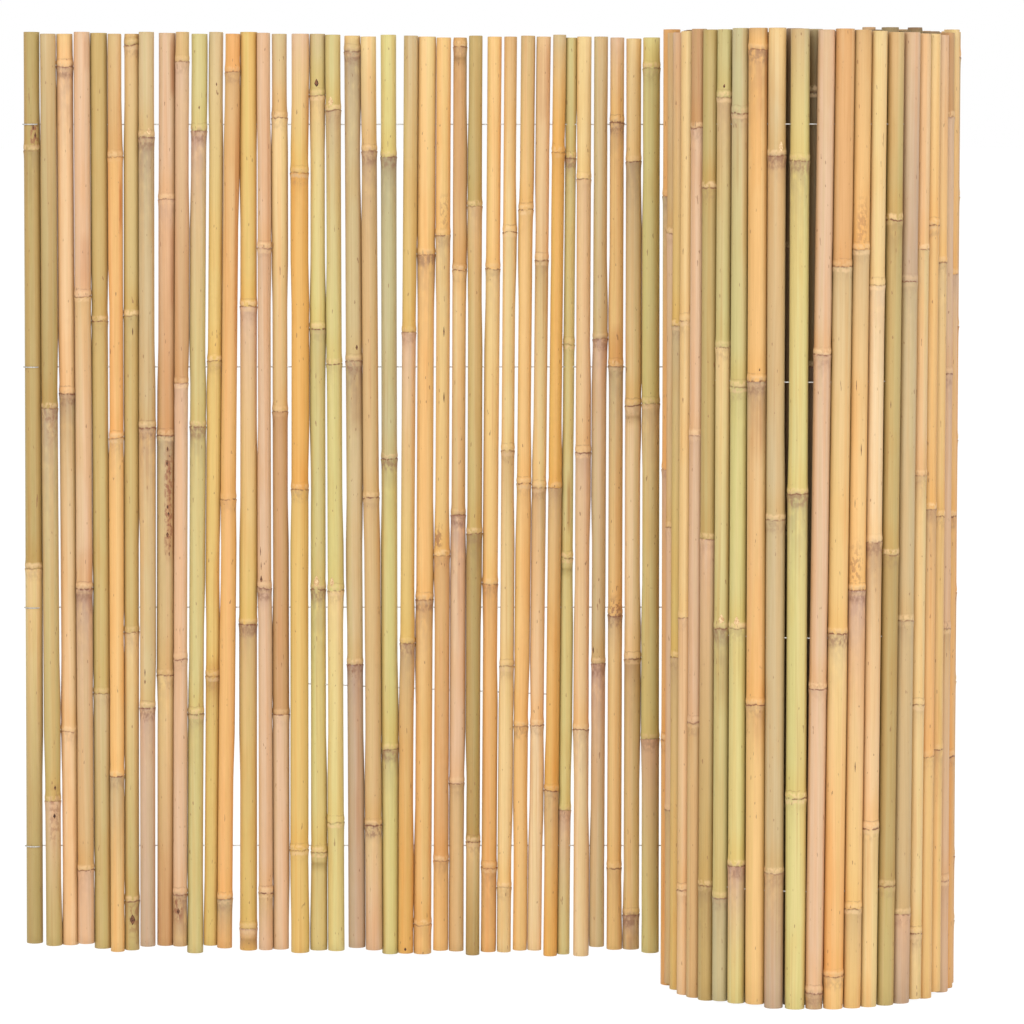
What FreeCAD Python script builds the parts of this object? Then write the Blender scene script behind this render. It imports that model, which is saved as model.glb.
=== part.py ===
import FreeCAD, Part
import math
import os
import random

# Roll-up bamboo fence: whole canes, cross-drilled and threaded on four rows of galvanised wire.
# One end lies flat and upright, the rest is still wound in a standing roll in front of it.
# Millimetres, +Z up, +X along the flat stretch towards the roll, the roll on the -Y side.

# Canes
FENCE_HEIGHT = 1000.0
CANE_COUNT = 150
SMALLEST_CANE = 13.8
LARGEST_ROLLED_CANE = 18.7
CANE_WALL = 4.0
END_HOLLOW = 60.0
DIAPHRAGM = 6.0

# Knots, the raised rings that part one hollow length of a cane from the next
KNOT_RISE = 0.7
KNOT_BELOW = 5.0
KNOT_ABOVE = 3.0
KNOT_STEP = 0.12
KNOT_SPACING = (250.0, 330.0)
KNOT_END_ROOM = 2.0

# Wires and the holes they are threaded through
WIRE_DIAMETER = 1.4
HOLE_CLEARANCE = 0.6
WIRE_ROWS = ("top_wire", "upper_wire", "lower_wire", "bottom_wire")
TOP_MARGIN = 95.0
FOOT_MARGIN = 121.0
WRAP_GAP = 0.5
WRAP_BEND = 1.6
WRAP_TURN = math.radians(130.0)

# The short wire, threaded through a few canes between the two lowest rows
SHORT_WIRE_CANES = (17, 32)
SHORT_WIRE_RISE = (178.0, 166.0)
SHORT_WIRE_END_ROOM = 1.0

# The way the fence lies: a straight stretch, then half-turns that tighten into a roll
FLAT_LENGTH = 826.5
ROLL_RADIUS = 152.0
TURN_GAP = 0.6
ROLL_TURNS = ("outer_turn_canes", "second_turn_canes", "inner_turn_canes")

# Canes of the flat stretch, from its free end. Each row is one cane:
# diameter, least gap to the cane before, lean of its top along the fence, step of its axis
# behind the wire, height of its foot, height of its top over the nominal one, knot heights.
FLAT_CANES = [
    (17.7, 0.0, 5, 0, 14, 4, (425, 877)),
    (17.2, 0.3, 1, -4, 12, 2, (171, 599)),
    (16.7, 0.3, 1, 1, 12, 2, (247, 615, 967)),
    (16.7, 0.3, 3, -3, 14, 4, (95, 403, 720)),
    (17.7, 0.3, 2, 2, 8, 3, (288, 693)),
    (14.3, 0.3, 4, -3, 5, 2, (198, 567, 870)),
    (15.8, 0.3, 6, 2, 6, 2, (60, 355, 699, 990)),
    (16.7, 0.5, 5, -3, 11, 4, (273, 578, 891)),
    (17.7, 1.8, 8, 2.5, 11, 3, (308, 569, 824)),
    (14.3, 0.3, 9, -3, 11, 4, (68, 326, 626, 972)),
    (16.7, 0.3, 10, 1, 3, 2, (266, 579, 898)),
    (14.8, 0.5, 12, 2, 11, 4, (307, 650)),
    (15.8, 0.3, 14, -3, 9, 2, (63, 500, 961)),
    (18.7, 0.3, 5, 2, 6, 4, (30, 364, 709)),
    (14.8, 0.3, 2, -3, 7, 3, (70, 404, 772)),
    (16.7, 0.5, 2, 2, 7, 2, (265, 595, 912)),
    (18.7, 2.5, 4, -2, 4, 2, (117, 511, 853)),
    (16.7, 1.0, 2, 2, 6, 2, (114, 402, 685, 936)),
    (16.7, 0.3, -1, -2, 6, 1, (147, 401, 647, 920)),
    (17.2, 2.7, -2, 1, 9, 0, (320, 650, 983)),
    (16.7, 0.7, -4, -3, 7, -1, (144, 502, 876)),
    (17.2, 0.6, 0, 2, 2, 1, (227, 544, 870)),
    (15.3, 0.3, 8, -2, 3, 0, (343, 681)),
    (18.7, 0.5, 6, 2, 2, -1, (34, 391, 765)),
    (15.3, 1.0, 6, -1, 6, -2, (105, 439, 786)),
    (15.3, 1.5, 5, 1, 5, -2, (190, 483, 748, 988)),
    (15.3, 1.0, 4, -1, 1, 0, (126, 463, 817)),
    (15.8, 0.5, 8, 2, 4, -1, (97, 408, 750)),
    (14.3, 2.0, 7, 0, 4, -1, (75, 318, 553, 789)),
    (14.8, 0.8, 9, 0, 6, 0, (252, 517, 813)),
    (14.8, 0.4, 10, 0, 6, -1, (254, 513, 759)),
    (14.3, 0.6, 10, -2, 0, 1, (182, 513, 875)),
    (12.8, 0.3, 8, 3.5, 1, -2, (160, 436, 668, 869)),
    (15.8, 0.3, 3, -1, 0, -1, (249, 551, 846)),
    (15.3, 1.5, 3, 0, 10, -1, (321, 674)),
    (15.8, 1.5, 2, 0, 7, -2, (97, 374, 645, 907)),
    (17.2, 1.2, 1, 2, 7, -3, (45, 326, 602, 865)),
    (18.7, 0.5, -1, -2, 4, -2, (239, 604, 965)),
]

# Canes on the front of the roll, from its right side round to its left side.
ROLL_FRONT_FIRST = 61
ROLL_FRONT_CANES = [
    (15.8, 1.5, -4, 0, 4, -4, (258, 501, 763)),
    (15.8, 1.5, -5, 0, 0, -3, (253, 510, 802)),
    (15.3, 1.5, -6, 0, 2, -3, (70, 308, 545, 777)),
    (17.7, 2.0, -7, 0, 0, -2, (93, 397, 745)),
    (16.3, 2.0, -6, 0, 0, -2, (124, 466, 808)),
    (15.3, 3.2, -6, 0, 0, -1, (185, 480, 742)),
    (16.3, 1.5, -6, 0, 0, 0, (103, 431, 778)),
    (18.7, 1.5, -7, 0, 0, 1, (34, 387, 761)),
    (16.3, 1.0, -8, 0, 0, 0, (17, 331, 672)),
    (18.7, 0.8, 0, 0, 0, 1, (218, 530, 868)),
    (17.7, 3.0, 0, 0, 0, 2, (140, 503, 873)),
    (18.2, 0.8, 1, 0, 3, 2, (313, 644, 980)),
    (16.3, 2.0, -1, 0, 2, 2, (145, 391, 638, 916)),
    (14.8, 2.5, -2, 0, 2, 1, (110, 389, 678, 932)),
    (15.8, 3.0, -3, 0, 0, 1, (120, 480, 840)),
    (15.3, 2.5, -4, 0, 0, 2, (288, 586, 901)),
    (15.8, 2.0, -3, 0, 0, 0, (110, 395, 703)),
    (15.8, 2.0, -3, 0, 2, -1, (352, 697)),
    (15.8, 2.0, -2, 0, 5, -1, (189, 486, 792)),
]

# The canes that lie behind, turned away or wound inside have the same spread as those above.
UNSEEN_GAP = (1.8, 4.0)
UNSEEN_FOOT = (0.0, 6.0)
UNSEEN_TOP = (-4.0, 4.0)
UNSEEN_FIRST_KNOT = (60.0, 300.0)
UNSEEN_SEED = 3

WIRE_RADIUS = WIRE_DIAMETER / 2
HOLE_RADIUS = WIRE_RADIUS + HOLE_CLEARANCE
TURN_PITCH = LARGEST_ROLLED_CANE + 2 * KNOT_RISE + TURN_GAP
ROW_SPACING = (FENCE_HEIGHT - TOP_MARGIN - FOOT_MARGIN) / (len(WIRE_ROWS) - 1)
UP = FreeCAD.Vector(0, 0, 1)
FULL_TURN = 360


class Cane:
    """One cane: its sizes, and the place of its axis along the fence at mid-height."""

    def __init__(self, row):
        self.diameter, self.gap, self.lean, self.step, self.foot, top_rise, knots = row
        self.top = FENCE_HEIGHT + top_rise
        lowest = self.foot + KNOT_BELOW + KNOT_END_ROOM
        highest = self.top - KNOT_ABOVE - KNOT_END_ROOM
        self.knots = [height for height in knots if lowest < height < highest]
        self.place = 0.0

    def share(self, height):
        """Share of the fence's height by which a height lies over its middle."""
        return (height - FENCE_HEIGHT / 2) / FENCE_HEIGHT

    def radius(self, height):
        """Each length between knots is plain and round, and thinner than the one below."""
        passed = sum(1 for knot in self.knots if knot < height)
        return self.diameter / 2 + KNOT_STEP * (len(self.knots) / 2 - passed)

    def reach(self, height):
        """Radius with the rise of a knot, where one lies at this height."""
        for knot in self.knots:
            if knot - KNOT_BELOW <= height <= knot + KNOT_ABOVE:
                return self.radius(height) + KNOT_RISE
        return self.radius(height)

    def along(self, height):
        return self.place + self.lean * self.share(height)


def unseen_cane(draw):
    first_knot = draw.uniform(*UNSEEN_FIRST_KNOT)
    spacing = draw.uniform(*KNOT_SPACING)
    knot_count = int((FENCE_HEIGHT - first_knot) / spacing) + 1
    knots = [first_knot + index * spacing for index in range(knot_count)]
    diameter = draw.uniform(SMALLEST_CANE, LARGEST_ROLLED_CANE)
    gap = draw.uniform(*UNSEEN_GAP)
    foot = max(0.0, draw.uniform(*UNSEEN_FOOT) - draw.uniform(*UNSEEN_FOOT))
    return Cane((diameter, gap, 0, 0, foot, draw.uniform(*UNSEEN_TOP), knots))


def spacing_after(before, cane):
    """Least distance along the wire between two neighbours, so that nowhere do they touch."""
    heights = [before.foot, before.top, cane.foot, cane.top] + before.knots + cane.knots
    step = cane.step - before.step
    needs = []
    for height in heights:
        centres = before.reach(height) + cane.reach(height) + cane.gap
        level = math.sqrt(centres ** 2 - step ** 2)
        needs.append(level + (before.lean - cane.lean) * cane.share(height))
    return max(needs)


def string_canes():
    """All canes of the fence in order, each placed along the wire after the one before."""
    draw = random.Random(UNSEEN_SEED)
    canes = []
    for number in range(1, CANE_COUNT + 1):
        front = number - ROLL_FRONT_FIRST
        if number <= len(FLAT_CANES):
            cane = Cane(FLAT_CANES[number - 1])
        elif 0 <= front < len(ROLL_FRONT_CANES):
            cane = Cane(ROLL_FRONT_CANES[front])
        else:
            cane = unseen_cane(draw)
        if canes:
            cane.place = canes[-1].place + spacing_after(canes[-1], cane)
        canes.append(cane)
    return canes


def half_turn(index):
    """Radius, centre and start distance of one half-turn of the roll."""
    start = FLAT_LENGTH
    front_to_back = 0.0
    for turn in range(index + 1):
        radius = ROLL_RADIUS - turn * TURN_PITCH / 2
        inward = -1 if turn % 2 == 0 else 1
        centre = FreeCAD.Vector(FLAT_LENGTH, front_to_back + inward * radius, 0)
        if turn < index:
            start += math.pi * radius
            front_to_back += inward * 2 * radius
    return radius, centre, start


def turn_at(distance):
    """The half-turn that holds a distance along the fence, or None on the flat stretch."""
    if distance <= FLAT_LENGTH:
        return None
    index = 0
    while True:
        radius, centre, start = half_turn(index)
        if distance <= start + math.pi * radius:
            return index
        index += 1


def plan_point(distance, height=0.0):
    """Point of the wire's line at a distance along the fence, and its heading there."""
    index = turn_at(distance)
    if index is None:
        return FreeCAD.Vector(distance, 0, height), FreeCAD.Vector(1, 0, 0)
    radius, centre, start = half_turn(index)
    turned = (distance - start) / radius
    side = 1 if index % 2 == 0 else -1
    out = FreeCAD.Vector(side * math.sin(turned), side * math.cos(turned), 0)
    heading = FreeCAD.Vector(side * math.cos(turned), -side * math.sin(turned), 0)
    return centre + out * radius + UP * height, heading


def left_of(heading):
    return FreeCAD.Vector(-heading.y, heading.x, 0)


def cane_profile(cane, length):
    """Half-section of a cane about its own axis: hollow ends, plain lengths, raised knots."""
    knots = [height - cane.foot for height in cane.knots]
    foot_depth = min([END_HOLLOW] + [height - DIAPHRAGM for height in knots])
    top_depth = min([END_HOLLOW] + [length - height - DIAPHRAGM for height in knots])
    foot_bore = cane.radius(cane.foot) - CANE_WALL
    top_bore = cane.radius(cane.top) - CANE_WALL
    points = [(0, 0)]
    if foot_depth > 0:
        points = [(0, foot_depth), (foot_bore, foot_depth), (foot_bore, 0)]
    points.append((cane.radius(cane.foot), 0))
    for knot in cane.knots:
        for height, rise in ((knot - KNOT_BELOW, 0), (knot, KNOT_RISE), (knot + KNOT_ABOVE, 0)):
            points.append((cane.radius(height) + rise, height - cane.foot))
    points.append((cane.radius(cane.top), length))
    if top_depth > 0:
        points += [(top_bore, length), (top_bore, length - top_depth), (0, length - top_depth)]
    else:
        points.append((0, length))
    points.append(points[0])
    corners = [FreeCAD.Vector(across, 0, up) for across, up in points]
    return Part.Face(Part.makePolygon(corners))


def wire_hole(middle, heading, length):
    return Part.makeCylinder(HOLE_RADIUS, length, middle - heading * (length / 2), heading)


def make_cane(cane, row_heights, extra_holes):
    """A whole cane on its leaning axis, drilled across for each wire."""
    foot_point, foot_heading = plan_point(cane.along(cane.foot), cane.foot)
    top_point, top_heading = plan_point(cane.along(cane.top), cane.top)
    foot_point += left_of(foot_heading) * cane.step
    top_point += left_of(top_heading) * cane.step
    axis = top_point - foot_point
    low_rim = cane.radius(cane.foot) * math.hypot(axis.x, axis.y) / axis.Length
    solid = cane_profile(cane, axis.Length - low_rim).revolve(FreeCAD.Vector(), UP, FULL_TURN)
    solid.Placement = FreeCAD.Placement(foot_point + UP * low_rim, FreeCAD.Rotation(UP, axis))
    holes = list(extra_holes)
    for height in row_heights:
        middle, heading = plan_point(cane.along(height), height)
        holes.append(wire_hole(middle, heading, 2 * cane.diameter))
    return solid.cut(holes)


def wrap(axis_point, cane, height, heading, side):
    """The wire's end: out of the last cane, a tight bend, then round the cane's outside."""
    away = left_of(heading) * side
    reach = cane.reach(height) + WRAP_GAP + WIRE_RADIUS
    run = math.sqrt((reach - WRAP_BEND) ** 2 - WRAP_BEND ** 2)
    joins = math.atan2(WRAP_BEND, run)

    def on_cane(angle):
        return axis_point + heading * (reach * math.cos(angle)) + away * (reach * math.sin(angle))

    bend_start = axis_point + heading * run
    bend_centre = bend_start + away * WRAP_BEND
    half_bend = (math.pi / 2 + joins) / 2
    outward = heading * math.sin(half_bend) - away * math.cos(half_bend)
    bend = Part.Arc(bend_start, bend_centre + outward * WRAP_BEND, on_cane(joins))
    round_cane = Part.Arc(on_cane(joins), on_cane((joins + WRAP_TURN) / 2), on_cane(WRAP_TURN))
    return bend_start, [bend, round_cane]


def reversed_arc(arc):
    middle = (arc.FirstParameter + arc.LastParameter) / 2
    return Part.Arc(arc.EndPoint, arc.value(middle), arc.StartPoint)


def make_row_wire(canes, height):
    """One wire from the free end of the fence, through every cane, to the inside of the roll."""
    first_distance = canes[0].along(height)
    last_distance = canes[-1].along(height)
    first_point, first_heading = plan_point(first_distance, height)
    last_point, last_heading = plan_point(last_distance, height)
    start_point, start_wrap = wrap(first_point, canes[0], height, first_heading * -1, 1)
    end_point, end_wrap = wrap(last_point, canes[-1], height, last_heading, -1)
    path = [reversed_arc(arc) for arc in reversed(start_wrap)]
    flat_end = plan_point(FLAT_LENGTH, height)[0]
    path.append(Part.LineSegment(start_point, flat_end))
    for index in range(turn_at(last_distance) + 1):
        radius, centre, start = half_turn(index)
        finish = min(start + math.pi * radius, last_distance)
        stations = (start, (start + finish) / 2, finish)
        path.append(Part.Arc(*[plan_point(station, height)[0] for station in stations]))
    path.append(Part.LineSegment(last_point, end_point))
    path += end_wrap
    spine = Part.Wire([piece.toShape() for piece in path])
    begin = path[0]
    section = Part.Circle(begin.StartPoint, begin.tangent(begin.FirstParameter)[0], WIRE_RADIUS)
    return spine.makePipe(Part.Face(Part.Wire(section.toShape())))


def short_wire_ends(canes, row_heights):
    ends = []
    for number, rise in zip(SHORT_WIRE_CANES, SHORT_WIRE_RISE):
        height = min(row_heights) + rise
        ends.append(plan_point(canes[number - 1].along(height), height)[0])
    return ends


def rod(start, finish, radius, overrun):
    heading = (finish - start).normalize()
    length = start.distanceToPoint(finish) + 2 * overrun
    return Part.makeCylinder(radius, length, start - heading * overrun, heading)


canes = string_canes()
row_heights = [FENCE_HEIGHT - TOP_MARGIN - row * ROW_SPACING for row in range(len(WIRE_ROWS))]
short_start, short_finish = short_wire_ends(canes, row_heights)
short_hole = rod(short_start, short_finish, HOLE_RADIUS, SHORT_WIRE_END_ROOM)

nodes = {}
for number, cane in enumerate(canes, start=1):
    crossed = SHORT_WIRE_CANES[0] <= number <= SHORT_WIRE_CANES[1]
    solid = make_cane(cane, row_heights, [short_hole] if crossed else [])
    half = turn_at(cane.place)
    if half is None:
        nodes[f"cane_{number:02d}"] = [solid]
    else:
        turn = min(half // 2, len(ROLL_TURNS) - 1)
        nodes.setdefault(ROLL_TURNS[turn], []).append(solid)
for name, height in zip(WIRE_ROWS, row_heights):
    nodes[name] = [make_row_wire(canes, height)]
nodes["short_wire"] = [rod(short_start, short_finish, WIRE_RADIUS, 0.0)]

# The origin is under the middle of the whole fence, on the ground.
whole = Part.makeCompound([solid for solids in nodes.values() for solid in solids]).BoundBox
to_middle = FreeCAD.Vector(-whole.Center.x, -whole.Center.y, -whole.ZMin)
os.makedirs("parts", exist_ok=True)
for name, solids in nodes.items():
    shape = solids[0] if len(solids) == 1 else Part.makeCompound(solids)
    shape.translate(to_middle)
    shape.exportStep(f"parts/{name}.step")
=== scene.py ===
import math
import random

import bmesh
import bpy
from mathutils import Matrix, Vector


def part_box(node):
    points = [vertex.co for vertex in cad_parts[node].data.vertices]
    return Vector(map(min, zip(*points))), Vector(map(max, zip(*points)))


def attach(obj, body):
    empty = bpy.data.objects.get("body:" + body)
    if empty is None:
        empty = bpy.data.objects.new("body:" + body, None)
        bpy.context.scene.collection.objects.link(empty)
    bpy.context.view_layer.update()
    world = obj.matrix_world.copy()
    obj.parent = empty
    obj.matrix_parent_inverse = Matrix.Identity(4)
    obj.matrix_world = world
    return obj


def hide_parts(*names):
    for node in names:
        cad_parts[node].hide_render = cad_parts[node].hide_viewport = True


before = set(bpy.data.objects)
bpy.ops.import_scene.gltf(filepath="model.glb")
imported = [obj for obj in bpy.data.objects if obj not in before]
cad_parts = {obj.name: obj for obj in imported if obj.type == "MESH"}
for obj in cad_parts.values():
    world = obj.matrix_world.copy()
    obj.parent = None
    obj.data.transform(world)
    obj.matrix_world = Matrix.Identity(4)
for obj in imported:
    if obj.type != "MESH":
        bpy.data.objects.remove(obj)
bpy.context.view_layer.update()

# The canes of the flat stretch: whole bamboo canes, sawn to length and drilled across for the wires.
# Each keeps its own skin colour from knot to knot, with cream knot rings, a grey bloom under them,
# brown bud scars, stains and a fine lengthwise fibre.
MM = 0.001
# How a cane is read from its solid: the corners of one ring, the sawn ends, the knots and the wall.
CAD_WELD = 0.001 * MM
RING_SPREAD = 0.2 * MM
RING_VERTICES = 8
END_BAND = 0.5 * MM
KNOT_STAND_OUT = 0.3 * MM
KNOT_REACH = 7.0 * MM
CANE_WALL = 4.0 * MM
# How its skin is formed: what lies further in than the skin's band is sawn end or hollow.
SPIN_WELD = 0.01 * MM
SKIN_BAND = 0.8 * MM
RIM_BREAK = 0.35 * MM
WAIST = 0.12 * MM
TILT_REACH = 7.0 * MM
# How far a skin bulges to touch the next cane, and how far it keeps back where there is a narrow gap.
BULGE = 1.1 * MM
SKIN_GAP = 0.02 * MM
KEPT_BACK = 0.35 * MM
OPEN_GAP = 2.6 * MM
KEPT_FADE = 1.2 * MM
CLOSING_LENGTH = 50.0 * MM
KNOT_RISE = 0.76 * MM
KNOT_CLEARANCE = 25.0 * MM
# Painted shade on the side of a cane where it touches the next one: its tone is darkened there, as a contact shadow.
GROOVE_FROM = 0.72
GROOVE_PAINTED_SHADE = (0.74, 0.69, 0.60, 1.0)
# How fast a length's upper tone gives way to its lower one, how sharply a stain ends, and how far, in mm,
# a knot's rings are followed.
TONE_FALL = 1.6
STAIN_END_FADE = 5.0
STAIN_SIDE_FADE = 2.5
FAR_FROM_KNOT = 60.0
# Rise of the skin near a knot in mm, from below it to above it: the sheath's ledge, a groove, the knot's ridge.
KNOT_FORM = [
    (-12.0, 0.00), (-8.0, 0.08), (-5.0, 0.22), (-3.0, 0.40), (-1.6, 0.60), (-0.8, 0.76), (-0.2, 0.74),
    (0.2, 0.34), (0.7, 0.26), (1.4, 0.46), (2.4, 0.60), (4.0, 0.62), (5.5, 0.48), (7.0, 0.22), (11.0, 0.00),
]


def shade(red, green, blue):
    """A colour as it is seen, given as 0 to 255, for a shader."""
    linear = []
    for part in (red / 255, green / 255, blue / 255):
        linear.append(part / 12.92 if part <= 0.04045 else ((part + 0.055) / 1.055) ** 2.4)
    return (*linear, 1.0)


TONES = {
    "honey": shade(230, 188, 125), "orange": shade(228, 176, 113), "amber": shade(225, 175, 98),
    "gold": shade(218, 184, 112), "straw": shade(229, 198, 142), "pale": shade(235, 205, 160),
    "peach": shade(230, 192, 146), "rose": shade(218, 182, 148), "tan": shade(211, 177, 127),
    "khaki": shade(203, 179, 135), "olive": shade(194, 170, 112), "moss": shade(180, 155, 100),
    "green": shade(204, 189, 130), "lime": shade(213, 198, 133), "sage": shade(197, 184, 141),
    "brown": shade(198, 155, 110), "mauve": shade(194, 166, 139), "apricot": shade(213, 168, 115),
}
# Tones that a cane changes between from length to length, and those that a length weathers to under its knot.
TONE_FAMILIES = [
    ("honey", "orange", "apricot"), ("amber", "gold"), ("straw", "pale", "peach"), ("tan", "rose", "brown"),
    ("khaki", "mauve"), ("olive", "moss"), ("green", "lime", "sage"),
]
WEATHERED_TONES = ["khaki", "tan", "rose", "straw"]
# The general colour of each cane that is seen from the front, from the free end of the fence.
FLAT_TONES = """
    moss moss peach rose olive honey olive khaki brown tan green gold orange gold rose tan gold green lime
    khaki tan lime gold honey honey tan olive honey straw honey straw amber green peach khaki honey straw lime
""".split()
# Knots with a dark crust and bloom, by cane and by knot from the foot.
DARK_KNOTS = {
    (2, 1), (3, 1), (3, 2), (4, 1), (8, 0), (8, 1), (8, 2), (10, 0), (11, 1), (11, 2), (14, 1), (15, 1), (18, 1),
    (20, 0), (20, 1), (20, 2), (21, 0), (21, 2), (22, 0), (22, 1), (22, 2), (23, 0), (24, 1), (24, 2), (26, 1),
    (33, 3), (35, 0), (35, 1), (36, 1), (36, 3), (37, 0),
}
# Knots whose bloom reaches far down the cane, in mm.
LONG_BLOOMS = {(2, 1): 90.0, (20, 2): 70.0, (8, 2): 60.0}
# Heights in mm between which a cane touches the next one.
TOUCHES = {
    1: [(220, 900)], 2: [(650, 1010), (220, 300), (-10, 60)], 3: [(-10, 1010)], 4: [(-10, 1010)],
    5: [(735, 1010), (-10, 560)], 6: [(-10, 905)], 7: [(475, 1010)], 8: [(300, 645)], 9: [(-10, 1010)],
    10: [(645, 820), (-10, 300)], 11: [(905, 1010), (385, 645), (-10, 60)], 12: [(475, 905), (-10, 385)],
    13: [(820, 1010), (220, 475)], 14: [(905, 1010), (385, 560)], 15: [(735, 905), (-10, 385)],
    16: [(735, 905), (60, 475)], 17: [(905, 1010), (560, 735), (-10, 60)], 18: [(905, 1010), (645, 735), (-10, 220)],
    19: [(385, 475)], 20: [(905, 1010), (475, 820), (-10, 220)], 21: [(-10, 475)], 22: [(-10, 300)],
    23: [(735, 1010), (300, 385), (-10, 140)], 24: [(735, 1010), (385, 475)], 25: [(-10, 475)],
    26: [(735, 905), (220, 475)], 27: [(385, 690)], 28: [(-10, 300)], 29: [(735, 820), (140, 475)],
    30: [(820, 1010), (300, 560), (-10, 140)], 31: [(140, 220)], 32: [(905, 1010), (-10, 560)],
    33: [(905, 1010), (220, 385)], 34: [(475, 645), (-10, 140)], 35: [(645, 735)], 36: [(-10, 60)],
    37: [(560, 820), (220, 385)],
}
# Bud scars: cane, height in mm, place across its front as a share of the radius, width and length in mm.
FLAT_SCARS = [
    (18, 949, -0.1, 5.0, 10.0), (20, 665, 0.45, 3.4, 10.0), (15, 413, -0.5, 3.4, 10.0), (7, 40, 0.1, 6.5, 12.0),
    (26, 305, -0.6, 2.2, 15.0), (25, 682, 0.15, 1.5, 12.0), (25, 611, 0.2, 1.3, 12.0), (10, 50, -0.2, 4.0, 7.0),
    (2, 186, 0.35, 2.6, 6.0), (2, 155, 0.25, 3.2, 6.0), (23, 8, 0.0, 3.0, 4.0), (35, 336, -0.75, 2.0, 8.0),
    (9, 555, 0.25, 2.2, 7.0), (9, 547, 0.50, 2.0, 8.0), (9, 540, 0.20, 2.6, 8.0), (9, 531, 0.45, 2.0, 7.0),
    (9, 513, 0.55, 1.6, 8.0), (9, 492, 0.25, 2.2, 5.0), (9, 484, 0.40, 3.0, 7.0), (9, 462, 0.25, 3.2, 6.0),
    (9, 450, 0.55, 2.0, 6.0), (9, 441, 0.45, 1.8, 7.0), (1, 902, 0.25, 2.0, 7.0), (1, 893, 0.5, 2.2, 9.0),
    (8, 312, -0.25, 1.2, 9.0), (8, 302, -0.25, 1.6, 5.0), (15, 444, -0.6, 1.1, 12.0), (15, 428, -0.5, 1.1, 10.0),
    (7, 682, 0.2, 1.4, 10.0), (12, 948, 0.1, 1.4, 4.0), (12, 938, 0.3, 1.2, 4.0), (11, 923, 0.1, 1.6, 4.0),
]
# Buds that never opened: the same figures, for pale scales that stand on a knot.
FLAT_BUDS = [
    (19, 929, -0.3, 6.0, 12.0), (18, 410, -0.2, 7.0, 15.0), (19, 410, -0.4, 5.5, 12.0), (8, 897, 0.4, 6.0, 9.0),
]
# Stains: cane, lower and upper end in mm, place across the front and half-width as shares of the radius,
# strength.
# The first kind is scabby, the second is smooth and reddish.
FLAT_SCABS = [
    (1, 880, 910, 0.4, 0.6, 1.0), (2, 560, 596, 0.35, 0.9, 0.3), (2, 120, 190, 0.3, 0.8, 0.4),
    (9, 436, 564, 0.35, 0.5, 0.9), (25, 790, 830, 0.1, 0.7, 0.4), (25, 445, 475, -0.5, 0.6, 0.7),
    (10, 40, 66, -0.3, 0.9, 0.8), (7, 22, 58, 0.3, 0.8, 0.5), (36, 372, 392, 0.0, 1.0, 0.7),
]
FLAT_FLUSHES = [
    (9, 930, 1003, 0.8, 0.5, 0.9), (9, 700, 800, 0.8, 0.5, 0.5), (6, 790, 850, 0.9, 0.35, 1.0),
    (33, 462, 528, 0.2, 0.4, 1.0), (4, 370, 455, 0.2, 1.0, 0.4), (9, 425, 566, 0.6, 0.7, 0.8),
    (4, 722, 790, 0.2, 0.8, 0.4),
    (20, 570, 648, 0.3, 1.0, 0.5), (13, 620, 960, 0.85, 0.4, 0.6), (31, 900, 1000, 0.3, 1.2, 0.5),
    (26, 800, 986, 0.3, 1.2, 0.4), (36, 640, 690, 0.1, 0.9, 0.5), (12, 280, 330, 0.1, 0.9, 0.4),
    (37, 4, 30, 0.2, 0.8, 0.5), (17, 860, 950, 0.9, 0.4, 0.6), (4, 960, 1002, 0.6, 0.4, 0.5),
]


def new_group(name, inputs, outputs):
    group = bpy.data.node_groups.new(name, "ShaderNodeTree")
    for direction, sockets in (("INPUT", inputs), ("OUTPUT", outputs)):
        for socket_name, kind in sockets:
            group.interface.new_socket(socket_name, in_out=direction, socket_type="NodeSocket" + kind)
    entry = group.nodes.new("NodeGroupInput").outputs
    leave = group.nodes.new("NodeGroupOutput").inputs
    return group, entry, leave


def put(tree, kind, sockets, **settings):
    """A node with its settings, and a value or a link for each of its sockets."""
    made = tree.nodes.new("ShaderNode" + kind)
    for name, value in settings.items():
        setattr(made, name, value)
    for socket, value in sockets.items():
        if isinstance(value, bpy.types.NodeSocket):
            tree.links.new(value, made.inputs[socket])
        else:
            made.inputs[socket].default_value = value
    return made


def maths(tree, operation, first, second=0.0):
    return put(tree, "Math", {0: first, 1: second}, operation=operation).outputs[0]


def times(tree, *factors):
    """The product of two or more values."""
    product = factors[0]
    for factor in factors[1:]:
        product = maths(tree, "MULTIPLY", product, factor)
    return product


def rise(tree, value, low, high):
    """0 at low and 1 at high, with a soft start and end."""
    sockets = {"Value": value, "From Min": low, "From Max": high}
    return put(tree, "MapRange", sockets, interpolation_type="SMOOTHSTEP").outputs[0]


def near(tree, value, middle, inner, outer):
    """1 within the inner distance of a middle value, 0 from the outer distance on."""
    away = maths(tree, "ABSOLUTE", maths(tree, "SUBTRACT", value, middle))
    return rise(tree, away, outer, inner)


def tint(tree, share, ground, colour, blend="MIX"):
    sockets = {0: share, 6: ground, 7: colour}
    return put(tree, "Mix", sockets, data_type="RGBA", blend_type=blend).outputs[2]


def grain(tree, place, across, along, detail):
    """Noise that is stretched along the cane: marks per metre across it and along it."""
    sockets = {0: place, 1: (across, across, along)}
    stretched = put(tree, "VectorMath", sockets, operation="MULTIPLY").outputs[0]
    return put(tree, "TexNoise", {"Vector": stretched, "Scale": 1.0, "Detail": detail}).outputs["Fac"]


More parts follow.
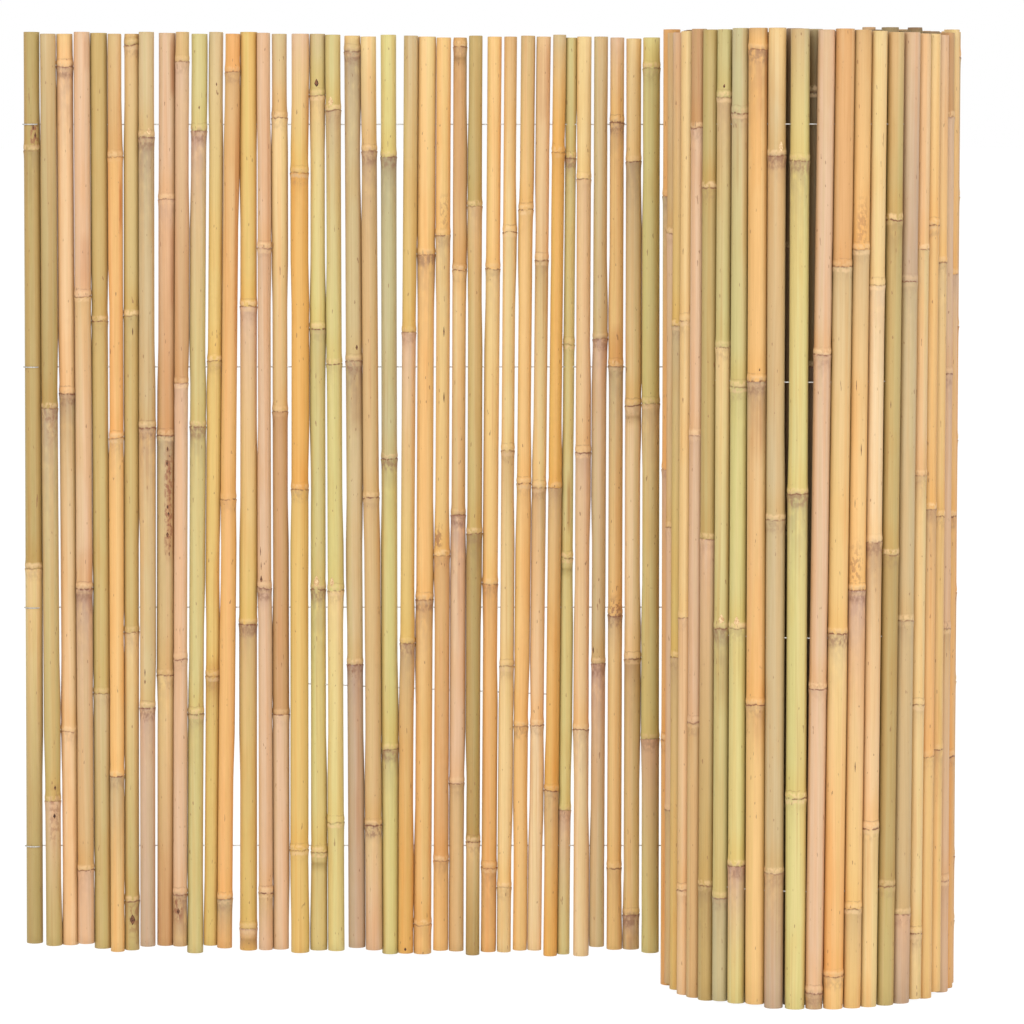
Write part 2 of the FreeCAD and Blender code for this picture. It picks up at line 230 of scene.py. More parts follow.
# Colours that the skin's own tone is multiplied by, and colours that cover it.
FIBRE_SHADE = (0.86, 0.80, 0.70, 1)
WARM_BAND = (1.0, 0.86, 0.70, 1)
GREEN_BAND = (0.92, 0.97, 0.84, 1)
WARM_CLOUD = (0.98, 0.85, 0.68, 1)
BROWN_STREAK = (0.80, 0.58, 0.42, 1)
WARM_ABOVE_KNOT = (1.0, 0.88, 0.66, 1)
GREY_BLOOM = (0.62, 0.58, 0.74, 1)
RED_FLUSH = (0.76, 0.56, 0.46, 1)
UPPER_CREAM = shade(238, 203, 154)
LOWER_CREAM = shade(234, 200, 152)
KNOT_CRUST = shade(146, 106, 82)
KNOT_LINE = shade(128, 82, 58)
SECOND_LINE = shade(160, 110, 78)
SCABBY_STAIN = shade(150, 96, 66)
FLECK = shade(140, 94, 62)


def make_skin_group():
    """Bamboo skin: fibre, bands and clouds of warmer and greener colour, bloom, knot rings, stains, specks."""
    inputs = [("Tone", "Color"), ("Marks", "Color"), ("Flush", "Float"), ("Rings", "Color"), ("Ring", "Float"),
              ("Place", "Vector")]
    outputs = [("Color", "Color"), ("Roughness", "Float"), ("Height", "Float")]
    group, entry, leave = new_group("bamboo_skin", inputs, outputs)
    place = entry["Place"]
    bloom, stain, crust = put(group, "SeparateColor", {0: entry["Marks"]}).outputs[:3]
    line, cream, double = put(group, "SeparateColor", {0: entry["Rings"]}).outputs[:3]
    fibre = grain(group, place, 900.0, 16.0, 3.0)
    band = grain(group, place, 120.0, 1.6, 1.0)
    streak = grain(group, place, 260.0, 4.0, 2.0)
    cloud = grain(group, place, 50.0, 10.0, 3.0)
    blotch = grain(group, place, 170.0, 70.0, 4.0)
    scab = grain(group, place, 300.0, 190.0, 3.0)
    fleck = grain(group, place, 420.0, 110.0, 1.0)
    ring = maths(group, "ADD", entry["Ring"], times(group, maths(group, "SUBTRACT", blotch, 0.5), 5.0))
    colour = entry["Tone"]
    colour = tint(group, times(group, rise(group, fibre, 0.36, 0.70), 0.35), colour, FIBRE_SHADE, "MULTIPLY")
    colour = tint(group, times(group, rise(group, band, 0.48, 0.62), 0.55), colour, WARM_BAND, "MULTIPLY")
    colour = tint(group, times(group, rise(group, band, 0.50, 0.36), 0.50), colour, GREEN_BAND, "MULTIPLY")
    colour = tint(group, times(group, rise(group, cloud, 0.50, 0.70), 0.40), colour, WARM_CLOUD, "MULTIPLY")
    colour = tint(group, times(group, rise(group, streak, 0.60, 0.78), 0.45), colour, BROWN_STREAK, "MULTIPLY")
    above = times(group, rise(group, ring, 48.0, 6.0), rise(group, ring, 0.0, 3.0), cream, 0.8)
    colour = tint(group, above, colour, WARM_ABOVE_KNOT, "MULTIPLY")
    bloom_share = times(group, bloom, rise(group, blotch, 0.22, 0.60))
    colour = tint(group, bloom_share, colour, GREY_BLOOM, "MULTIPLY")
    flush = times(group, entry["Flush"], rise(group, streak, 0.20, 0.55))
    colour = tint(group, flush, colour, RED_FLUSH, "MULTIPLY")
    patchy = rise(group, scab, 0.34, 0.56)
    upper_band = times(group, near(group, ring, 3.4, 1.0, 4.0), cream, patchy, 0.75)
    colour = tint(group, upper_band, colour, UPPER_CREAM)
    lower_band = times(group, near(group, ring, -3.4, 0.8, 3.0), double, patchy, 0.6)
    colour = tint(group, lower_band, colour, LOWER_CREAM)
    crust_share = times(group, near(group, ring, -5.0, 3.5, 11.5), crust, rise(group, scab, 0.36, 0.62), 0.75)
    colour = tint(group, crust_share, colour, KNOT_CRUST)
    broken = rise(group, scab, 0.30, 0.56)
    colour = tint(group, times(group, near(group, ring, 0.0, 0.2, 1.2), line, broken), colour, KNOT_LINE)
    second_line = times(group, near(group, ring, 8.0, 0.2, 1.0), line, double, broken, 0.45)
    colour = tint(group, second_line, colour, SECOND_LINE)
    stain_share = times(group, stain, rise(group, scab, 0.44, 0.58))
    colour = tint(group, stain_share, colour, SCABBY_STAIN)
    colour = tint(group, times(group, rise(group, fleck, 0.72, 0.77), 0.6), colour, FLECK)
    roughness = maths(group, "ADD", 0.42, times(group, fibre, 0.22))
    height = maths(group, "ADD", fibre, times(group, blotch, 0.6))
    for name, value in (("Color", colour), ("Roughness", roughness), ("Height", height)):
        group.links.new(value, leave[name])
    return group


def new_material(name):
    material = bpy.data.materials.new(name)
    material.use_nodes = True
    return material, material.node_tree, material.node_tree.nodes["Principled BSDF"]


def read_attribute(tree, name, output):
    return put(tree, "Attribute", {}, attribute_name=name).outputs[output]


def object_place(tree):
    return put(tree, "TexCoord", {}).outputs["Object"]


def roughen(tree, shader, height, strength, depth):
    bump = put(tree, "Bump", {"Height": height, "Strength": strength, "Distance": depth})
    tree.links.new(bump.outputs[0], shader.inputs["Normal"])


def make_bamboo():
    material, tree, shader = new_material("bamboo_cane_skin")
    skin = tree.nodes.new("ShaderNodeGroup")
    skin.node_tree = make_skin_group()
    for name in ("Tone", "Marks", "Rings"):
        tree.links.new(read_attribute(tree, name.lower(), "Color"), skin.inputs[name])
    tree.links.new(read_attribute(tree, "marks", "Alpha"), skin.inputs["Flush"])
    tree.links.new(read_attribute(tree, "ring", "Fac"), skin.inputs["Ring"])
    tree.links.new(object_place(tree), skin.inputs["Place"])
    tree.links.new(skin.outputs["Color"], shader.inputs["Base Color"])
    tree.links.new(skin.outputs["Roughness"], shader.inputs["Roughness"])
    shader.inputs["Specular IOR Level"].default_value = 0.35
    roughen(tree, shader, skin.outputs["Height"], 0.35, 0.3 * MM)
    return material


def make_sawn_end():
    """The sawn end and the hollow: pale wood with dark ends of fibres, dustier inside."""
    material, tree, shader = new_material("sawn_bamboo_end")
    place = object_place(tree)
    pores = grain(tree, place, 1500.0, 1500.0, 2.0)
    dust_and_painted_shade = grain(tree, place, 140.0, 90.0, 4.0)
    colour = tint(tree, rise(tree, pores, 0.42, 0.62), shade(220, 190, 142), shade(176, 132, 88))
    colour = tint(tree, times(tree, rise(tree, dust_and_painted_shade, 0.4, 0.7), 0.5), colour, shade(200, 174, 136))
    tree.links.new(colour, shader.inputs["Base Color"])
    shader.inputs["Roughness"].default_value = 0.85
    roughen(tree, shader, pores, 0.5, 0.25 * MM)
    return material


def make_crust(name, dark, light):
    """A dry mark on the skin: the crust of a bud scar, or the scale of a bud that never opened."""
    material, tree, shader = new_material(name)
    crust = grain(tree, object_place(tree), 900.0, 500.0, 4.0)
    colour = tint(tree, rise(tree, crust, 0.35, 0.65), dark, light)
    tree.links.new(colour, shader.inputs["Base Color"])
    shader.inputs["Roughness"].default_value = 0.8
    roughen(tree, shader, crust, 0.6, 0.4 * MM)
    return material


CANE_MATERIALS = [
    make_bamboo(),
    make_sawn_end(),
    make_crust("bud_scar", shade(62, 40, 30), shade(138, 90, 60)),
    make_crust("dry_bud", shade(206, 164, 114), shade(238, 208, 160)),
]
# The skin comes first, so it is what every face has at the start.
SAWN, SCAR, BUD = range(1, len(CANE_MATERIALS))


def cane_solids(node):
    """The corner points of each cane in a CAD node, sorted so that sums over them are the same in each run."""
    copy = bmesh.new()
    copy.from_mesh(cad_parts[node].data)
    bmesh.ops.remove_doubles(copy, verts=copy.verts, dist=CAD_WELD)
    left = set(copy.verts)
    solids = []
    while left:
        reached = {left.pop()}
        edge = list(reached)
        while edge:
            here = edge.pop()
            beside = {link.other_vert(here) for link in here.link_edges} - reached
            reached |= beside
            edge += beside
        left -= reached
        solids.append(sorted((vertex.co.copy() for vertex in reached), key=tuple))
    copy.free()
    return solids


def mean(points):
    return sum(points, Vector()) / len(points)


def measure_cane(points):
    """A cane's foot, axis, length, knot heights, radius of each length and depth of its end hollows."""
    lowest = min(point.z for point in points)
    highest = max(point.z for point in points)
    foot = mean([point for point in points if point.z < lowest + END_BAND])
    top = mean([point for point in points if point.z > highest - END_BAND])
    axis = (top - foot).normalized()
    length = (top - foot).length
    marks = []
    for point in points:
        height = (point - foot).dot(axis)
        marks.append((height, (point - foot - axis * height).length))
    marks.sort()
    rings = [[marks[0]]]
    for mark in marks[1:]:
        if mark[0] - rings[-1][-1][0] < RING_SPREAD:
            rings[-1].append(mark)
        else:
            rings.append([mark])
    full = []
    for ring in rings:
        if len(ring) >= RING_VERTICES:
            full.append(max(ring, key=lambda mark: mark[1]))
    widest = max(radius for _, radius in full)
    skin = [ring for ring in full if ring[1] > widest - CANE_WALL / 2]
    hollows = [height for height, radius in full if radius < widest - CANE_WALL / 2]
    knots = []
    for here, radius in skin:
        around = [other for height, other in skin if abs(height - here) < KNOT_REACH]
        if radius == max(around) and radius > min(around) + KNOT_STAND_OUT:
            knots.append(here)
    ends = [0.0] + knots + [length]
    radii = []
    for low, high in zip(ends, ends[1:]):
        radii.append(min(radius for height, radius in skin if low - RING_SPREAD < height < high + RING_SPREAD))
    foot_depth = max([height for height in hollows if height < length / 2], default=0.0)
    top_depth = max([length - height for height in hollows if height > length / 2], default=0.0)
    return {"foot": foot, "axis": axis, "length": length, "knots": knots, "radii": radii,
            "foot_depth": foot_depth, "top_depth": top_depth}


def skin_outline(cane, spacing):
    """Radius and height along the skin: slightly waisted lengths, and the form of each knot."""
    length, knots, radii = cane["length"], cane["knots"], cane["radii"]
    bounds = [0.0] + knots + [length]
    below, over = KNOT_FORM[0][0] * MM, KNOT_FORM[-1][0] * MM
    points = []
    for index, radius in enumerate(radii):
        low, high = bounds[index], bounds[index + 1]
        steps = max(2, round((high - low) / spacing))
        for step in range(steps + 1):
            height = low + (high - low) * step / steps
            if not any(knot + below < height < knot + over for knot in knots):
                points.append((radius - WAIST * math.sin(math.pi * step / steps), height))
    for index, knot in enumerate(knots):
        for offset, stand_out in KNOT_FORM:
            side = radii[index] if offset < 0 else radii[index + 1]
            points.append((side + stand_out * MM, knot + offset * MM))
    inside = [point for point in points if 2 * RIM_BREAK < point[1] < length - 2 * RIM_BREAK]
    inside.sort(key=lambda point: point[1])
    foot_rim = [(radii[0] - RIM_BREAK, 0.0), (radii[0], RIM_BREAK)]
    top_rim = [(radii[-1], length - RIM_BREAK), (radii[-1] - RIM_BREAK, length)]
    return foot_rim + inside + top_rim


def cane_outline(cane, spacing):
    """Half-section from the bottom of the foot's hollow, over the skin, to the top's hollow."""
    length, foot_depth, top_depth = cane["length"], cane["foot_depth"], cane["top_depth"]
    foot_bore = cane["radii"][0] - CANE_WALL
    top_bore = cane["radii"][-1] - CANE_WALL
    outline = [(0.0, foot_depth)]
    if foot_depth:
        outline += [(foot_bore, foot_depth), (foot_bore, RIM_BREAK), (foot_bore + RIM_BREAK, 0.0)]
    outline += skin_outline(cane, spacing)
    if top_depth:
        outline += [(top_bore + RIM_BREAK, length), (top_bore, length - RIM_BREAK), (top_bore, length - top_depth)]
    outline.append((0.0, length - top_depth))
    return outline


def looks_at(cane, looks, height):
    """Skin colour, bloom, crust, distance to the nearest knot and the make of its rings, at a height."""
    knots = cane["knots"]
    index = sum(1 for knot in knots if knot <= height)
    bounds = [0.0] + knots + [cane["length"]]
    risen = (height - bounds[index]) / (bounds[index + 1] - bounds[index])
    upper, lower = (TONES[name] for name in looks["tones"][index])
    share = max(0.0, min(1.0, risen)) ** TONE_FALL
    light = looks["lights"][index]
    tone = [light * (low + (high - low) * share) for low, high in zip(lower[:3], upper[:3])]
    bloom = 0.0
    if index < len(knots):
        make = looks["knots"][index]
        bloom = make["bloom"] * math.exp(-(knots[index] - height) / make["reach"])
    away, crust, rings = FAR_FROM_KNOT, 0.0, (0.0, 0.0, 0.0, 1.0)
    for knot, make in zip(knots, looks["knots"]):
        offset = (height - knot) / MM
        if abs(offset) < FAR_FROM_KNOT:
            away, crust = offset, make["crust"]
            rings = (make["line"], make["cream"], make["double"], 1.0)
        elif -2 * FAR_FROM_KNOT < offset < 0.0:
            away = -FAR_FROM_KNOT
    return (*tone, 1.0), bloom, crust, away, rings


def stain_at(stains, height, across, faces_out):
    """The strongest stain at a height and a place across the outer side of a cane."""
    strongest = 0.0
    for low, high, middle, half_width, strength in stains:
        if faces_out and low < height < high:
            end = min(height - low, high - height) / (high - low)
            side = 1.0 - abs(across - middle) / half_width
            fade = min(1.0, STAIN_END_FADE * end) * max(0.0, min(1.0, STAIN_SIDE_FADE * side))
            strongest = max(strongest, strength * fade)
    return strongest


def axis_point(cane, height):
    """The middle of a cane at a height above the floor."""
    return cane["foot"] + cane["axis"] * ((height - cane["foot"].z) / cane["axis"].z)


def radius_towards(cane, height, direction):
    """Radius of a cane at a height above the floor and in a direction, with room for its knots."""
    along = height - cane["foot"].z
    index = sum(1 for knot in cane["knots"] if knot <= along)
    away = min((abs(along - knot) for knot in cane["knots"]), default=KNOT_CLEARANCE)
    radius = cane["radii"][index] + KNOT_RISE * max(0.0, 1.0 - away / KNOT_CLEARANCE)
    return radius * oval_at(cane["looks"], math.atan2(direction.y, direction.x))


def oval_at(looks, angle):
    return 1.0 + looks["oval"] * math.cos(2 * (angle - looks["oval_turn"]))


def bulges_at(cane, beside, height):
    """The way to each cane beside it, and how far the skin bulges there to touch it, or keeps back from it."""
    bulges = []
    for other, touches in beside:
        towards = axis_point(other, height) - axis_point(cane, height)
        way = towards.normalized()
        gap = towards.length - radius_towards(cane, height, way) - radius_towards(other, height, way)
        close = 0.0
        for low, high in touches:
            end = min(height - low * MM, high * MM - height) / CLOSING_LENGTH
            close = max(close, min(1.0, max(0.0, end + 0.5)))
        bulge = max(-KEPT_BACK, min(BULGE, gap / 2 - SKIN_GAP))
        kept_back = KEPT_BACK * max(0.0, min(1.0, (OPEN_GAP - gap) / KEPT_FADE))
        bulges.append((way, close * bulge - (1.0 - close) * kept_back, close))
    return bulges


def grow_cane(cane, beside, scabs, flushes, segments, spacing):
    """One cane, spun from its half-section, made a little irregular and set on its axis."""
    looks = cane["looks"]
    bulges = {}
    bm = bmesh.new()
    tone_layer = bm.verts.layers.float_color.new("tone")
    marks_layer = bm.verts.layers.float_color.new("marks")
    rings_layer = bm.verts.layers.float_color.new("rings")
    ring_layer = bm.verts.layers.float.new("ring")
    chain = [bm.verts.new((radius, 0.0, height)) for radius, height in cane_outline(cane, spacing)]
    edges = [bm.edges.new(pair) for pair in zip(chain, chain[1:])]
    bmesh.ops.spin(bm, geom=chain + edges, cent=(0, 0, 0), axis=(0, 0, 1), angle=2 * math.pi,
                   steps=segments, use_merge=True)
    bmesh.ops.remove_doubles(bm, verts=bm.verts, dist=SPIN_WELD)
    bmesh.ops.recalc_face_normals(bm, faces=bm.faces)
    skin_inside = min(cane["radii"]) - SKIN_BAND
    for face in bm.faces:
        face.smooth = True
        centre = face.calc_center_median()
        if math.hypot(centre.x, centre.y) < skin_inside:
            face.material_index = SAWN
    for vertex in bm.verts:
        height = vertex.co.z
        angle = math.atan2(vertex.co.y, vertex.co.x)
        outward = Vector((math.cos(angle), math.sin(angle), 0.0))
        level = round(height / MM, 2)
        if level not in bulges:
            bulges[level] = bulges_at(cane, beside, height + cane["foot"].z)
        tone, bloom, crust, ring, rings = looks_at(cane, looks, height)
        # Painted shade: the tone is darkened on the side that faces a touching cane, as the contact shadow in the
        # groove.
        for way, _, close in bulges[level]:
            painted_groove_shade = close * max(0.0, min(1.0, (outward.dot(way) - GROOVE_FROM) / (1.0 - GROOVE_FROM)))
            tone = [part * (1.0 - painted_groove_shade * (1.0 - dust_and_painted_shade)) for part, dust_and_painted_shade in zip(tone, GROOVE_PAINTED_SHADE)]
        scab = stain_at(scabs, height, math.cos(angle), vertex.co.y < 0.0)
        flush = stain_at(flushes, height, math.cos(angle), vertex.co.y < 0.0)
        vertex[tone_layer] = tone
        vertex[marks_layer] = (bloom, scab, crust, flush)
        vertex[rings_layer] = rings
        vertex[ring_layer] = ring
        if math.hypot(vertex.co.x, vertex.co.y) > skin_inside:
            oval = oval_at(looks, angle)
            vertex.co.x *= oval
            vertex.co.y *= oval
            for way, bulge, _ in bulges[level]:
                vertex.co += way * bulge * max(0.0, outward.dot(way))
            if abs(ring) * MM < TILT_REACH:
                fade = 1.0 - abs(ring) * MM / TILT_REACH
                vertex.co.z += fade * looks["tilt"] * math.cos(angle - looks["tilt_turn"])
    turn = Vector((0, 0, 1)).rotation_difference(cane["axis"]).to_matrix().to_4x4()
    bmesh.ops.transform(bm, matrix=Matrix.Translation(cane["foot"]) @ turn, verts=bm.verts)
    return bm


def stains_on(number, stains, foot):
    """The stains of one cane, with their ends measured from its foot."""
    found = []
    for place, low, high, *rest in stains:
        if place == number:
            found.append((low * MM - foot, high * MM - foot, *rest))
    return found


MARK_THICKNESS = {SCAR: 0.9 * MM, BUD: 1.9 * MM}
MARK_ROUND, MARK_RINGS = 10, 8
MARK_POINT = 1.4
FRONT = Vector((0, -1, 0))


def add_mark(bm, cane, material_index, height, across, width, length):
    """A bud or its scar: a low lens, pointed above and below, set on the front of the skin."""
    index = sum(1 for knot in cane["knots"] if knot < height)
    radius = cane["radii"][index] - WAIST
    facing = (FRONT * math.sqrt(1.0 - across ** 2) + Vector((across, 0, 0))).normalized()
    side = Vector((0, 0, 1)).cross(facing)
    made = bmesh.ops.create_uvsphere(bm, u_segments=MARK_ROUND, v_segments=MARK_RINGS, radius=0.5)["verts"]
    for vertex in made:
        vertex.co.x *= 1.0 - MARK_POINT * abs(vertex.co.z)
        for face in vertex.link_faces:
            face.smooth = True
            face.material_index = material_index
    turn = Matrix((side, facing, Vector((0, 0, 1)))).transposed().to_4x4()
    turn = Matrix.Translation(cane["foot"] + cane["axis"] * height + facing * radius) @ turn
    size = Matrix.Diagonal((width * MM, MARK_THICKNESS[material_index], length * MM, 1.0))
    bmesh.ops.transform(bm, matrix=turn @ size, verts=made)


def draw_looks(draw, cane, tones, dark, light):
    """What is left to chance on a cane: the make of each knot, its ovalness, the tilt of its rings."""
    knots = []
    for index in range(len(cane["knots"])):
        is_dark = index in dark
        knots.append({
            "bloom": draw.uniform(0.75, 0.95) if is_dark else draw.uniform(0.10, 0.60),
            "reach": draw.uniform(14.0, 55.0) * MM,
            "crust": draw.uniform(0.75, 1.0) if is_dark else draw.uniform(0.0, 0.45),
            "line": draw.uniform(0.45, 1.0),
            "cream": draw.uniform(0.30, 0.85),
            "double": draw.choice([0.0, 0.3, 1.0]),
        })
    lights = [light * draw.uniform(0.95, 1.04) for _ in cane["radii"]]
    return {"tones": tones, "knots": knots, "lights": lights, "oval": draw.uniform(0.0, 0.012),
            "oval_turn": draw.uniform(0.0, math.pi), "tilt": draw.uniform(0.0, 0.8) * MM,
            "tilt_turn": draw.uniform(0.0, 2 * math.pi)}


# General colours of the canes that the photo doesn't show, and the shade of the whole stretch.
CHANCE_TONES = ["honey", "straw", "peach", "olive", "tan", "gold", "rose", "green", "orange"]
FLAT_SHADE = 1.015


def tones_for(cane, kind, draw):
    """Upper and lower tone of each length of a cane of one general colour, from foot to top."""
    family = next(names for names in TONE_FAMILIES if kind in names)
    pairs = []
    for _ in cane["radii"]:
        lower = draw.choice([kind, kind, draw.choice(family)])
        upper = draw.choice([lower, draw.choice(WEATHERED_TONES)])
        pairs.append((upper, lower))
    return pairs


def finish_canes(grown, name, node):
    """The canes of one CAD node as one piece."""
    mesh = bpy.data.meshes.new(name)
    whole = grown[0]
    for cane_mesh in grown[1:]:
        cane_mesh.to_mesh(mesh)
        whole.from_mesh(mesh)
        cane_mesh.free()
    whole.to_mesh(mesh)
    whole.free()
    for material in CANE_MATERIALS:
        mesh.materials.append(material)
    piece = bpy.data.objects.new(name, mesh)
    bpy.context.scene.collection.objects.link(piece)
    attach(piece, "root")
    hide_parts(node)
    return piece


FLAT_COUNT = sum(1 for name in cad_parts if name.startswith("cane_"))
FLAT_SEGMENTS = 32
FLAT_SPACING = 12.0 * MM
CHANCE_SEED = 11
draw = random.Random(CHANCE_SEED)
flat_nodes = [f"cane_{number:02d}" for number in range(1, FLAT_COUNT + 1)]
flat_canes = [measure_cane(cane_solids(node)[0]) for node in flat_nodes]
for number, cane in enumerate(flat_canes, 1):
    kind = FLAT_TONES[number - 1] if number <= len(FLAT_TONES) else draw.choice(CHANCE_TONES)
    dark = {knot for place, knot in DARK_KNOTS if place == number}
    cane["looks"] = draw_looks(draw, cane, tones_for(cane, kind, draw), dark, FLAT_SHADE)
    for (place, knot), reach in LONG_BLOOMS.items():
        if place == number:
            cane["looks"]["knots"][knot]["reach"] = reach * MM
for number, (node, cane) in enumerate(zip(flat_nodes, flat_canes), 1):
    foot = cane["foot"].z
    beside = []
    if number > 1:
        beside.append((flat_canes[number - 2], TOUCHES.get(number - 1, [])))
    if number < FLAT_COUNT:
        beside.append((flat_canes[number], TOUCHES.get(number, [])))
    scabs = stains_on(number, FLAT_SCABS, foot)
    flushes = stains_on(number, FLAT_FLUSHES, foot)
    bm = grow_cane(cane, beside, scabs, flushes, FLAT_SEGMENTS, FLAT_SPACING)
    for marks, material_index in ((FLAT_SCARS, SCAR), (FLAT_BUDS, BUD)):
        for place, height, *form in marks:
            if place == number:
                add_mark(bm, cane, material_index, height * MM - foot, *form)
    finish_canes([bm], f"bamboo_{node}", node)

# The canes of the roll: the same canes, still wound up behind one another on the same wires.
# Their fronts face outwards all round, and the inner turns show only at the ends and through the gaps.
ROLL_LOW, ROLL_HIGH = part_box("outer_turn_canes")
ROLL_CENTRE = (Vector(ROLL_LOW) + Vector(ROLL_HIGH)) / 2
FRONT_FIRST = 15
# The general colour of each cane on the roll's front, from its right side round to its left side.
FRONT_TONES = """
    honey honey straw khaki olive straw honey honey rose lime khaki honey lime green olive rose peach gold tan
""".split()
# Shade of each turn's skins: the turns behind the outer one are painted darker, as painted shade for the dark gaps
# between its canes and the inside of the roll.
TURN_PAINTED_SHADES = {"outer_turn_canes": 0.98, "second_turn_canes": 0.4, "inner_turn_canes": 0.75}
# On the outer turn each cane touches the next along its whole length, but for one gap.
WHOLE_LENGTH = [(-10, 1010)]
ROLL_TOUCHES = {24: [(-10, 560)]}
# Dark knots, bud scars, buds and stains on the outer turn, by cane from the back of the roll and clockwise.
ROLL_DARK_KNOTS = {
    (24, 1), (24, 2), (25, 2), (26, 1), (26, 2), (23, 0), (20, 1), (21, 1), (28, 1), (22, 1), (27, 0),
}
ROLL_SCARS = [
    (28, 943, 0.0, 4.6, 9.0), (20, 302, -0.55, 2.2, 13.0), (26, 656, 0.3, 3.2, 9.0), (19, 345, -0.3, 1.1, 14.0),
    (21, 640, -0.4, 1.0, 16.0), (21, 575, 0.3, 1.0, 13.0), (21, 520, -0.4, 1.0, 14.0), (21, 250, 0.0, 1.1, 12.0),
    (19, 620, -0.2, 1.1, 12.0), (24, 866, 0.0, 3.4, 5.0), (23, 22, 0.1, 4.0, 4.0),
]
ROLL_BUDS = [(27, 397, -0.2, 6.5, 13.0), (28, 398, -0.1, 6.5, 14.0), (25, 882, 0.4, 5.5, 11.0)]
ROLL_SCABS = [(21, 436, 470, -0.2, 0.8, 0.5), (21, 780, 830, 0.1, 0.7, 0.4)]
ROLL_FLUSHES = [
    (26, 570, 640, 0.2, 1.0, 0.5), (28, 300, 385, 0.3, 0.9, 0.4), (20, 120, 180, 0.2, 1.0, 0.4),
    (26, 250, 310, 0.2, 0.9, 0.4), (26, 900, 975, 0.5, 0.8, 0.4),
]


def turned_from_back(cane):
    """Angle round the roll, clockwise from its back."""
    out = cane["foot"] + cane["axis"] * (cane["length"] / 2) - ROLL_CENTRE
    return math.atan2(out.x, out.y) % (2 * math.pi)


# Segments round a cane, and the spacing along it in mm.
TURN_FINENESS = {
    "outer_turn_canes": (24, 30.0), "second_turn_canes": (16, 60.0), "inner_turn_canes": (16, 60.0),
}
for node, (segments, spacing) in TURN_FINENESS.items():
    canes = sorted((measure_cane(points) for points in cane_solids(node)), key=turned_from_back)
    outer = node == "outer_turn_canes"
    grown = []
    for index, cane in enumerate(canes):
        front = index - FRONT_FIRST
        seen = outer and 0 <= front < len(FRONT_TONES)
        kind = FRONT_TONES[front] if seen else draw.choice(CHANCE_TONES)
        dark = {knot for place, knot in ROLL_DARK_KNOTS if outer and place == index}
        # The turns behind the outer one get painted shade: their tones are darkened by their turn's factor.
        cane["looks"] = draw_looks(draw, cane, tones_for(cane, kind, draw), dark, TURN_PAINTED_SHADES[node])
    for index, cane in enumerate(canes):
        foot = cane["foot"].z
        beside = []
        if outer and index > 0:
            beside.append((canes[index - 1], ROLL_TOUCHES.get(index - 1, WHOLE_LENGTH)))
        if outer and index < len(canes) - 1:
            beside.append((canes[index + 1], ROLL_TOUCHES.get(index, WHOLE_LENGTH)))
        scabs = stains_on(index, ROLL_SCABS, foot) if outer else []
        flushes = stains_on(index, ROLL_FLUSHES, foot) if outer else []
        bm = grow_cane(cane, beside, scabs, flushes, segments, spacing * MM)
        grown.append(bm)
        for marks, material_index in ((ROLL_SCARS, SCAR), (ROLL_BUDS, BUD)):
            for place, height, *form in marks:
                if outer and place == index:
                    add_mark(bm, cane, material_index, height * MM - foot, *form)
    finish_canes(grown, f"bamboo_{node}", node)

# The wires: galvanised steel, threaded through every cane in four rows and bent round the end canes,
# with one short wire between the two lowest rows. Dull zinc with a faint spangle and duller spots.


def make_galvanised_wire():
    material, tree, shader = new_material("galvanised_wire")
    place = object_place(tree)
    spangle = grain(tree, place, 600.0, 600.0, 3.0)
    dull = grain(tree, place, 90.0, 90.0, 4.0)
    colour = tint(tree, rise(tree, spangle, 0.35, 0.65), shade(176, 174, 168), shade(212, 210, 204))
    colour = tint(tree, times(tree, rise(tree, dull, 0.52, 0.7), 0.5), colour, shade(140, 126, 108))
    tree.links.new(colour, shader.inputs["Base Color"])
    roughness = maths(tree, "ADD", 0.35, times(tree, spangle, 0.25))
    tree.links.new(roughness, shader.inputs["Roughness"])
    shader.inputs["Metallic"].default_value = 0.85
    return material


galvanised = make_galvanised_wire()
for name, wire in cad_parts.items():
    if name.endswith("_wire"):
        wire.data.materials.clear()
        wire.data.materials.append(galvanised)

# The stage: a pale floor under soft light from the front left, on white.
# Floor and sky are white where they are seen, and give less light than they show.
FLOOR_HALF = 400.0
bm = bmesh.new()
bmesh.ops.create_grid(bm, x_segments=1, y_segments=1, size=FLOOR_HALF)
floor_mesh = bpy.data.meshes.new("floor")
bm.to_mesh(floor_mesh)
bm.free()
floor = bpy.data.objects.new("floor", floor_mesh)
bpy.context.scene.collection.objects.link(floor)


def seen_directly(tree):
    """1 for rays from the camera, reflections and glass, 0 for light on its way."""
    path = put(tree, "LightPath", {}).outputs
    sharp = maths(tree, "MAXIMUM", path["Is Glossy Ray"], path["Is Transmission Ray"])
    return maths(tree, "MAXIMUM", path["Is Camera Ray"], sharp)


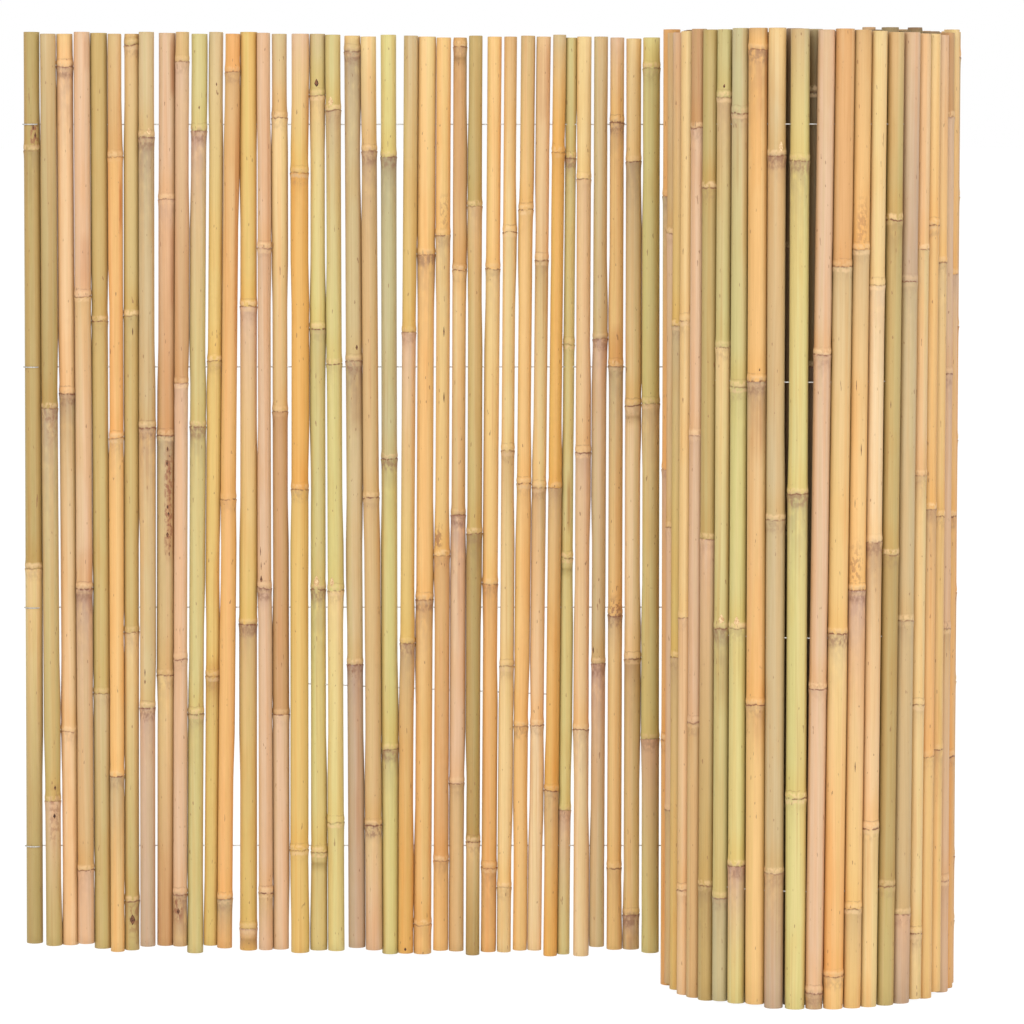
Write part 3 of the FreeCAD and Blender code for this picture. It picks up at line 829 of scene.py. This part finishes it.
WHITE = (1.0, 1.0, 1.0, 1.0)
SHADOW_SHARE = 0.15
FLOOR_GLOW = 1.12
material, tree, shader = new_material("pale_floor")
shader.inputs["Base Color"].default_value = (0.92, 0.92, 0.92, 1.0)
shader.inputs["Roughness"].default_value = 0.9
glow = put(tree, "Emission", {"Color": WHITE, "Strength": FLOOR_GLOW}).outputs[0]
share = maths(tree, "MULTIPLY", seen_directly(tree), 1.0 - SHADOW_SHARE)
lit = put(tree, "MixShader", {0: share, 1: shader.outputs[0], 2: glow}).outputs[0]
tree.links.new(lit, tree.nodes["Material Output"].inputs["Surface"])
floor_mesh.materials.append(material)

SKY_LIGHT = 0.53
world = bpy.data.worlds.new("white_studio")
world.use_nodes = True
tree = world.node_tree
tree.nodes.clear()
soft = put(tree, "Background", {"Color": WHITE, "Strength": SKY_LIGHT}).outputs[0]
plain = put(tree, "Background", {"Color": WHITE, "Strength": 1.0}).outputs[0]
both = put(tree, "MixShader", {0: seen_directly(tree), 1: soft, 2: plain}).outputs[0]
leave = tree.nodes.new("ShaderNodeOutputWorld")
tree.links.new(both, leave.inputs["Surface"])
bpy.context.scene.world = world


def add_lamp(name, place, aim, size, power):
    lamp = bpy.data.lights.new(name, "AREA")
    lamp.shape = "SQUARE"
    lamp.size = size
    lamp.energy = power
    holder = bpy.data.objects.new(name, lamp)
    holder.location = place
    holder.rotation_euler = (Vector(aim) - Vector(place)).to_track_quat("-Z", "Y").to_euler()
    bpy.context.scene.collection.objects.link(holder)


AIM = (0.0, 0.0, 0.5)
add_lamp("key_left", (-5.0, -10.5, 5.5), AIM, 6.5, 590.0)
add_lamp("fill_front", (1.4, -7.0, 1.6), AIM, 3.0, 130.0)
add_lamp("side_right", (4.0, -1.6, 1.8), AIM, 2.5, 26.0)
add_lamp("back_soft", (0.0, 3.4, 2.8), AIM, 2.5, 45.0)

PICTURE_WIDTH = 1024
LENS_PIXELS = 4580.0
CAMERA_PLACE = (0.0298, -4.798, 0.9)
CAMERA_DOWN = 4.78
camera = bpy.data.cameras.new("camera")
camera.sensor_width = 36.0
camera.lens = LENS_PIXELS * camera.sensor_width / PICTURE_WIDTH
camera.clip_end = 200.0
viewer = bpy.data.objects.new("camera", camera)
viewer.location = CAMERA_PLACE
viewer.rotation_euler = (math.radians(90.0 - CAMERA_DOWN), 0.0, 0.0)
bpy.context.scene.collection.objects.link(viewer)
bpy.context.scene.camera = viewer
bpy.context.scene.view_settings.view_transform = "Standard"

bpy.context.view_layer.update()
